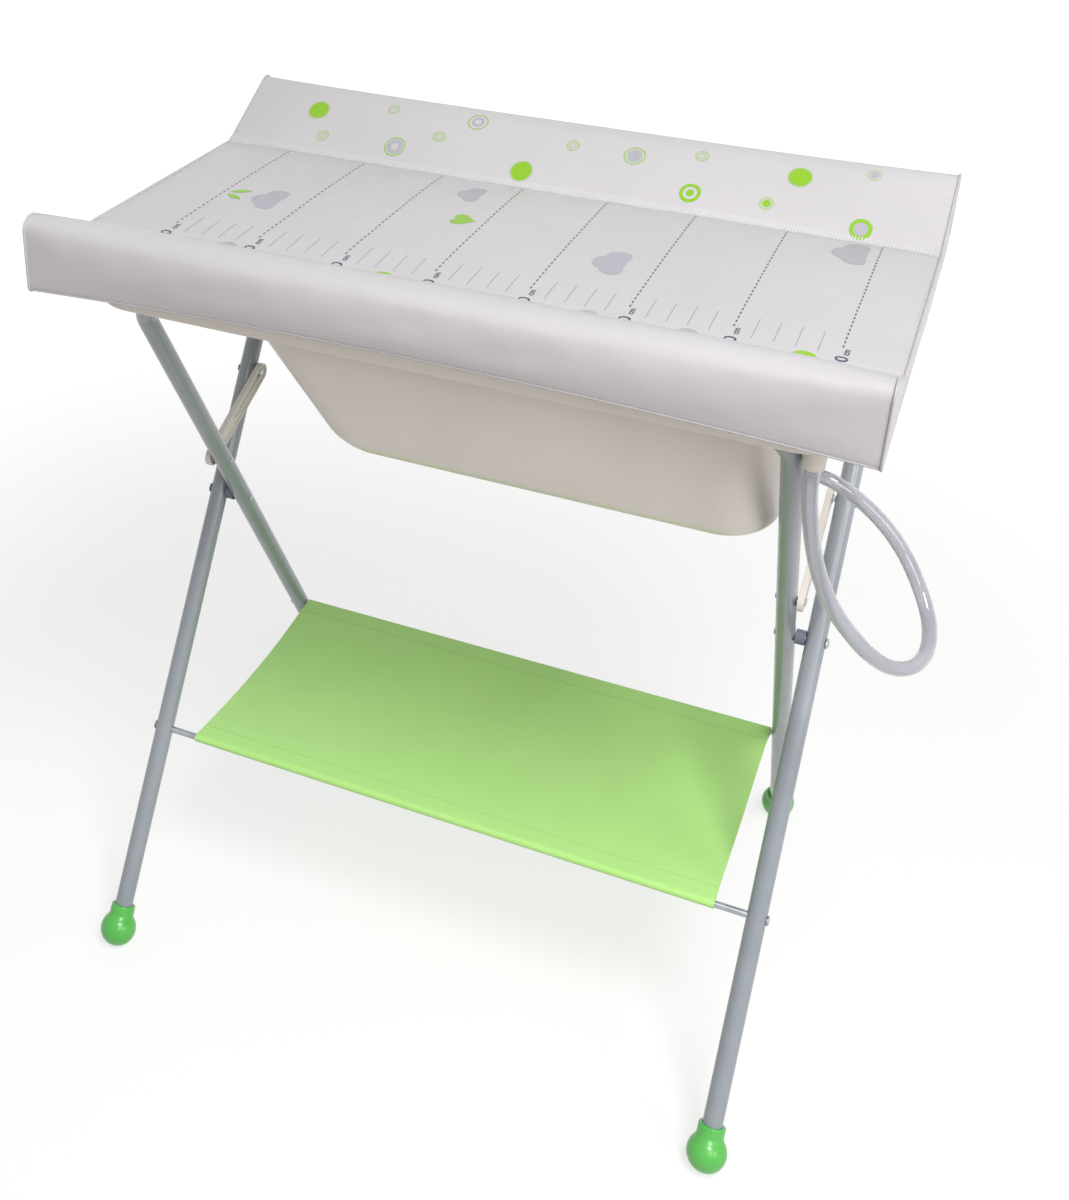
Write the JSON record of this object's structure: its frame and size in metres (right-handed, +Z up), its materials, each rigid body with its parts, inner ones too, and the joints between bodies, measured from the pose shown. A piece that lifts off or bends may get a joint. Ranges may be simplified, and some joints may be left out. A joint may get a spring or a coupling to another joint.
{
  "type": "changing table",
  "caption": "Folding changing table: padded mat with raised edges over a plastic baby bath with a drain hose, on crossed tube legs with ball feet and a fabric shelf.",
  "frame": {"origin": "on the floor under the middle of the stand", "axes": "+Z up, +X along the mat towards the end with the drain hose, +Y to the rear"},
  "size_m": [0.9176, 0.6256, 0.9795],
  "materials": {
    "frame_tube": "gloss grey-blue lacquer",
    "foot_plastic": "smooth green",
    "rod_steel": "plain drawn wire",
    "fastener_steel": "zinc-plated",
    "spacer_plastic": "dark grey",
    "shelf_cloth": "thin light green woven cloth",
    "bath_plastic": "smooth cream white",
    "fitting_plastic": "smooth cream white",
    "seal_rubber": "matte grey",
    "hose_plastic": "clear soft tube with a grey-lilac tint",
    "mat_vinyl": "vinyl-coated cloth over foam, white with printed motifs, soft gloss",
    "base_board": "hard board covered in white film"
  },
  "bodies": {
    "outer_frame": {"outer_frame_tube": "frame_tube", "foot_front_left": "foot_plastic", "foot_front_right": "foot_plastic", "shelf_rod_front": "rod_steel", "rod_cap_front_left": "fastener_steel", "rod_cap_front_right": "fastener_steel", "pivot_rivet_left": "fastener_steel", "pivot_rivet_right": "fastener_steel", "pivot_spacer_left": "spacer_plastic", "pivot_spacer_right": "spacer_plastic", "link_bolt_outer_left": "fastener_steel", "link_bolt_outer_right": "fastener_steel", "shelf_fabric": "shelf_cloth"},
    "inner_frame": {"inner_frame_tube": "frame_tube", "foot_rear_left": "foot_plastic", "foot_rear_right": "foot_plastic", "shelf_rod_rear": "rod_steel", "rod_cap_rear_left": "fastener_steel", "rod_cap_rear_right": "fastener_steel", "link_bolt_inner_left": "fastener_steel", "link_bolt_inner_right": "fastener_steel"},
    "link_left": {"link_left": "fitting_plastic"},
    "link_right": {"link_right": "fitting_plastic"},
    "link_pin_left": {"link_pin_left": "fastener_steel"},
    "link_pin_right": {"link_pin_right": "fastener_steel"},
    "bath": {"bath_tub": "bath_plastic", "drain_spout": "fitting_plastic", "drain_nut": "fitting_plastic", "drain_seal": "seal_rubber", "hose_holder": "fitting_plastic", "drain_hose": "hose_plastic", "mat_hinge_bracket_left": "fitting_plastic", "mat_hinge_bracket_right": "fitting_plastic", "mat_hinge_pin_left": "fastener_steel", "mat_hinge_pin_right": "fastener_steel"},
    "mat": {"changing_mat": "mat_vinyl", "mat_base_board": "base_board", "mat_hinge_leaf_left": "fitting_plastic", "mat_hinge_leaf_right": "fitting_plastic"}
  },
  "joints": [
    {"name": "frame_fold", "type": "hinge", "parent": "outer_frame", "child": "inner_frame", "pos_m": [0, 0, 0.505], "axis": [-1, 0, 0], "range_deg": [0, 57], "deforming": ["shelf_fabric"]},
    {"name": "bath_lift", "type": "slide", "parent": "outer_frame", "child": "bath", "axis": [0, 0.2924, 0.9563], "range_m": [0, 0.7128]},
    {"name": "link_left_swing", "type": "hinge", "parent": "inner_frame", "child": "link_left", "pos_m": [-0.35775, -0.04687, 0.583], "axis": [1, 0, 0], "range_deg": [0, 85.3]},
    {"name": "link_right_swing", "type": "hinge", "parent": "inner_frame", "child": "link_right", "pos_m": [0.35775, -0.04687, 0.583], "axis": [1, 0, 0], "range_deg": [0, 85.3]},
    {"name": "link_pin_left_slide", "type": "slide", "parent": "link_left", "child": "link_pin_left", "axis": [0, -0.9135, -0.4068], "range_m": [0, 0.0728]},
    {"name": "link_pin_right_slide", "type": "slide", "parent": "link_right", "child": "link_pin_right", "axis": [0, -0.9135, -0.4068], "range_m": [0, 0.0728]},
    {"name": "mat_lift", "type": "hinge", "parent": "bath", "child": "mat", "pos_m": [0, 0.244, 0.884], "axis": [-1, 0, 0], "range_deg": [0, 100]}
  ],
  "couplings": [
    {"joint": "bath_lift", "follows": "frame_fold", "m_per_rad": 0.7162},
    {"joint": "link_left_swing", "follows": "frame_fold", "ratio": 1.495},
    {"joint": "link_right_swing", "follows": "frame_fold", "ratio": 1.495},
    {"joint": "link_pin_left_slide", "follows": "frame_fold", "m_per_rad": 0.0731},
    {"joint": "link_pin_right_slide", "follows": "frame_fold", "m_per_rad": 0.0731}
  ]
}
